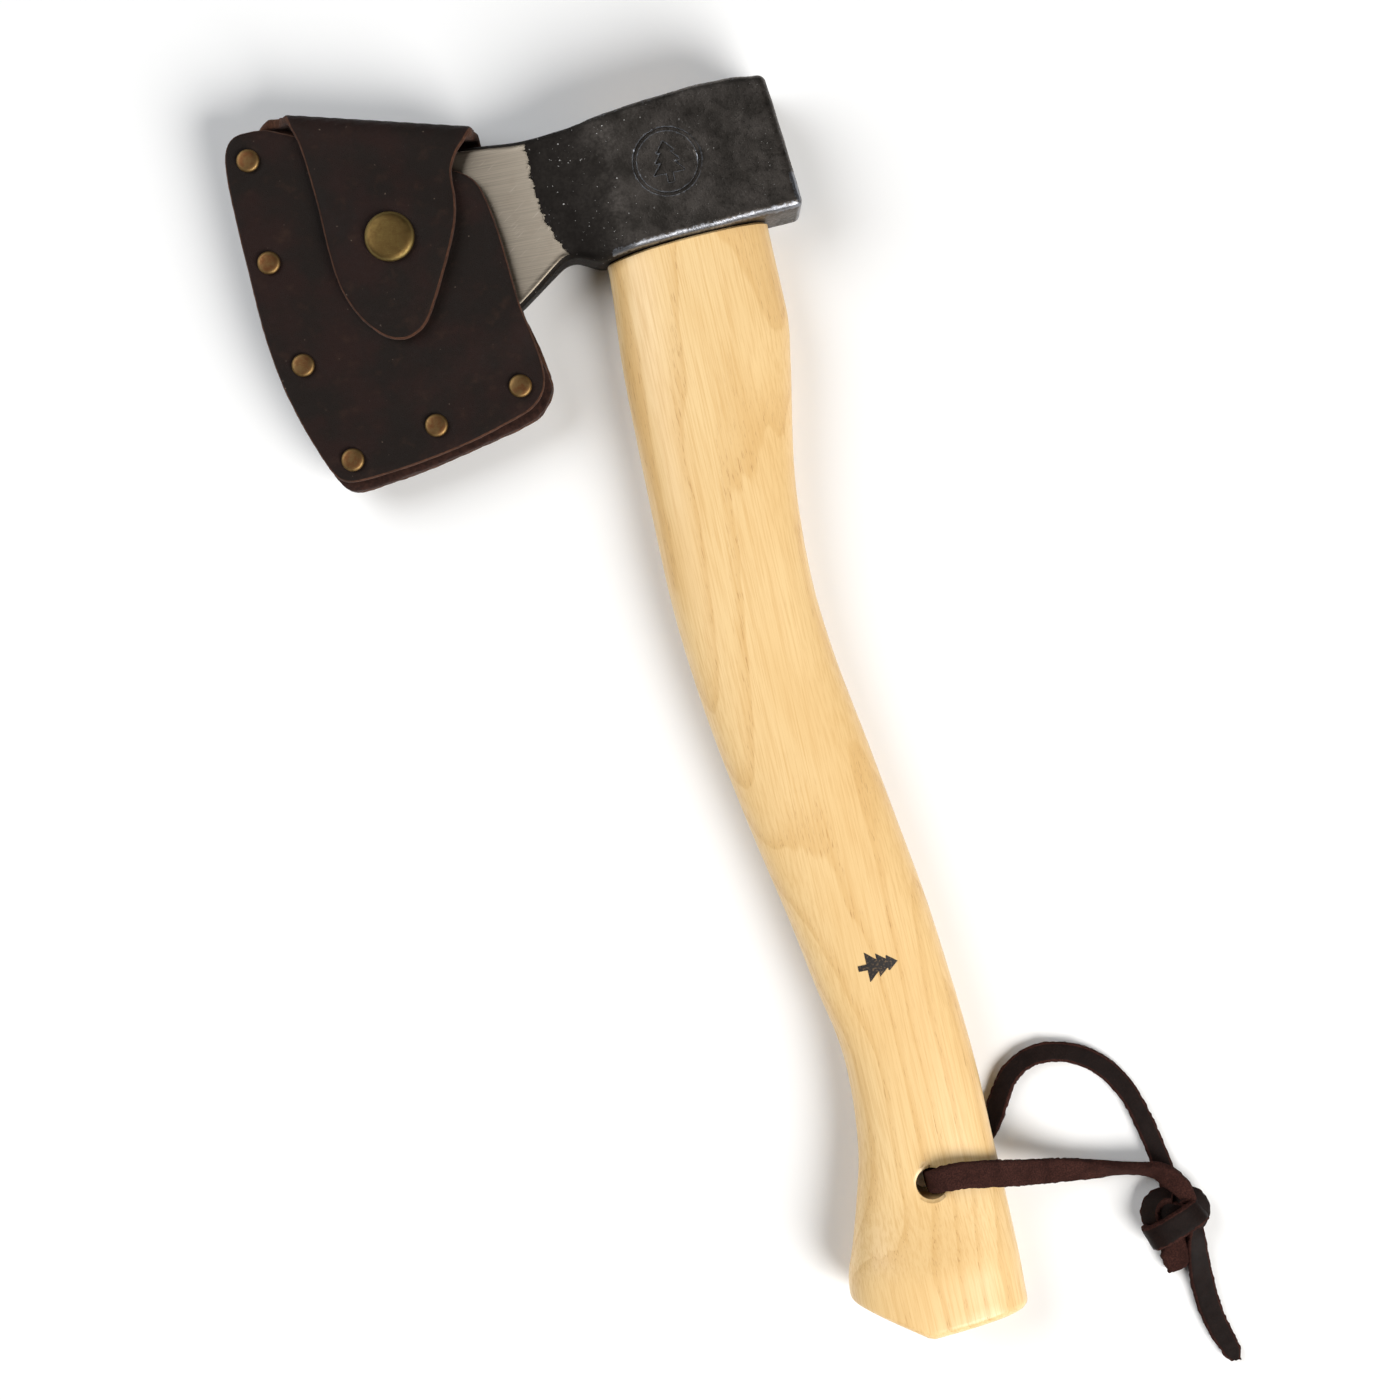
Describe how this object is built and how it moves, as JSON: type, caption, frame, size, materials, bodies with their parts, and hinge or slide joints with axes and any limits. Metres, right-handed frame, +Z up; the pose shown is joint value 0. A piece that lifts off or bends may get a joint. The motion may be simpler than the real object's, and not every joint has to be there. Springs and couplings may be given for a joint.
{
  "type": "hatchet",
  "caption": "Small one-handed hatchet with a flared steel bit, a curved wooden handle, a riveted leather sheath with a snap flap, and a leather wrist lace.",
  "frame": {"origin": "centre of the head's lower cheek, on the surface that the hatchet lies on", "axes": "+Z up, out of the head's cheek; +Y along the handle towards the head's top; the cutting edge points along -X and the poll along +X"},
  "size_m": [0.2213, 0.4319, 0.0291],
  "materials": {
    "forged_head": "dark oiled forging scale, worn bright on the edges, with a bright brushed bit",
    "handle_wood": "pale straight-grained wood under a satin varnish",
    "wedge_wood": "bare wood",
    "bright_steel": "plain bright steel",
    "sheath_leather": "dark brown oiled leather with scuffs",
    "welt_leather": "raw reddish brown cut edge",
    "antique_brass": "antique brass, rubbed on the crown",
    "snap_steel": "plain nickel steel",
    "lace_leather": "dark brown lace, smooth on one side and rough on the other"
  },
  "bodies": {
    "hatchet": {"head": "forged_head", "handle": "handle_wood", "wooden_wedge": "wedge_wood", "ring_wedge": "bright_steel", "sheath_front_panel": "sheath_leather", "sheath_back_panel": "sheath_leather", "sheath_welt": "welt_leather", "snap_stud": "snap_steel", "snap_post": "snap_steel", "lanyard_front_strand": "lace_leather", "lanyard_back_strand": "lace_leather", "lanyard_knot": "lace_leather", "lanyard_long_tail": "lace_leather", "lanyard_short_tail": "lace_leather", "rivet_cap_1": "antique_brass", "rivet_base_1": "antique_brass", "rivet_cap_2": "antique_brass", "rivet_base_2": "antique_brass", "rivet_cap_3": "antique_brass", "rivet_base_3": "antique_brass", "rivet_cap_4": "antique_brass", "rivet_base_4": "antique_brass", "rivet_cap_5": "antique_brass", "rivet_base_5": "antique_brass", "rivet_cap_6": "antique_brass", "rivet_base_6": "antique_brass"},
    "flap_fold": {"flap_fold": "sheath_leather"},
    "flap": {"flap": "sheath_leather", "snap_cap": "antique_brass", "snap_socket": "snap_steel"}
  },
  "joints": [
    {"name": "fold_hinge", "type": "hinge", "parent": "hatchet", "child": "flap_fold", "pos_m": [-0.08509, 0.03242, 0.009], "axis": [-0.9601, 0.2797, 0], "range_deg": [0, 90]},
    {"name": "flap_hinge", "type": "hinge", "parent": "flap_fold", "child": "flap", "pos_m": [-0.08509, 0.03242, 0.0212], "axis": [-0.9601, 0.2797, 0], "range_deg": [0, 90]}
  ]
}
